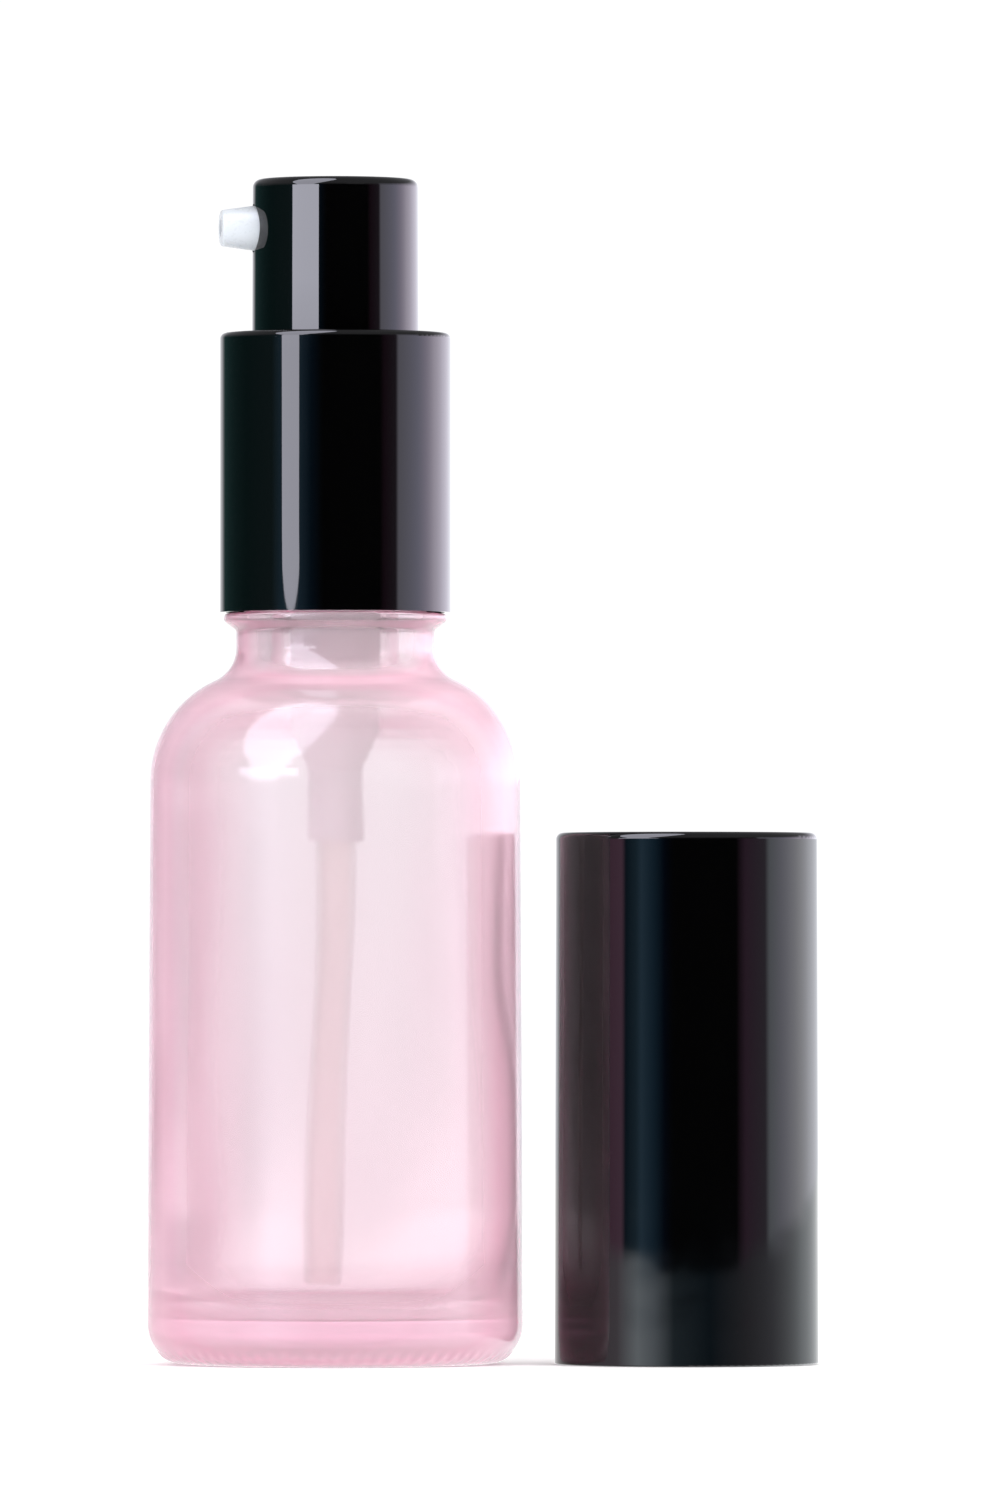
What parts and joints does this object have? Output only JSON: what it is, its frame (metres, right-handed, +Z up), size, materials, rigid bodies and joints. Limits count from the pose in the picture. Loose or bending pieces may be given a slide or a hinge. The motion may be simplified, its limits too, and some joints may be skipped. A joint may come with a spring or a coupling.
{
  "type": "pump bottle",
  "caption": "Round glass foundation bottle with a screw-on press pump, side spout and a pull-off overcap standing beside it.",
  "frame": {"origin": "centre of the ring that the bottle stands on, on the bottle's axis", "axes": "+Z up along the bottle's axis; the spout points to -X, turned 8 degrees towards -Y; the overcap stands on +X"},
  "size_m": [0.0597, 0.0334, 0.1054],
  "materials": {
    "pink_glass": "clear flint glass tinted pale pink, fire polished",
    "black_gloss": "deep black injection moulded plastic, high gloss",
    "black_satin": "black moulded lining, satin",
    "white_plastic": "milky white moulded plastic, slightly translucent",
    "pale_plastic": "natural translucent moulded plastic",
    "white_foam": "closed-cell foam",
    "steel": "drawn stainless steel"
  },
  "bodies": {
    "bottle": {"glass_bottle": "pink_glass"},
    "pump_body": {"neck_gasket": "white_foam", "pump_housing": "pale_plastic", "stem_guide": "pale_plastic", "ball_retainer": "pale_plastic", "dip_tube": "pale_plastic", "return_spring": "steel"},
    "closure": {"threaded_closure": "white_plastic", "collar_shell": "black_gloss"},
    "stem_body": {"stem": "white_plastic", "plunger": "white_plastic"},
    "actuator": {"actuator_insert": "white_plastic", "spout": "white_plastic", "actuator_shell": "black_gloss"},
    "piston": {"piston_seal": "pale_plastic"},
    "ball": {"inlet_ball": "steel"},
    "cap": {"cap_shell": "black_gloss", "cap_liner": "black_satin"}
  },
  "joints": [
    {"name": "pump_rise", "type": "slide", "parent": "bottle", "child": "pump_body", "axis": [0, 0, 1], "range_m": [0, 0.0045]},
    {"name": "closure_turn", "type": "hinge", "parent": "pump_body", "child": "closure", "pos_m": [0, 0, 0.075], "axis": [0, 0, 1], "range_deg": [0, 540]},
    {"name": "press", "type": "slide", "parent": "pump_body", "child": "stem_body", "axis": [0, 0, -1], "range_m": [0, 0.005], "stiffness_N_per_m": 680, "springref_m": -0.004, "deforming": ["return_spring"]},
    {"name": "actuator_turn", "type": "hinge", "parent": "stem_body", "child": "actuator", "pos_m": [0, 0, 0.1], "axis": [0, 0, 1], "continuous": true},
    {"name": "piston_slip", "type": "slide", "parent": "stem_body", "child": "piston", "axis": [0, 0, 1], "range_m": [0, 0.0008]},
    {"name": "ball_lift", "type": "slide", "parent": "pump_body", "child": "ball", "axis": [0, 0, 1], "range_m": [0, 0.0008]},
    {"name": "cap_lift", "type": "slide", "parent": "bottle", "child": "cap", "axis": [0, 0, 1], "range_m": [0, 0.108]}
  ],
  "couplings": [
    {"joint": "pump_rise", "follows": "closure_turn", "m_per_rad": 0.00047746}
  ]
}
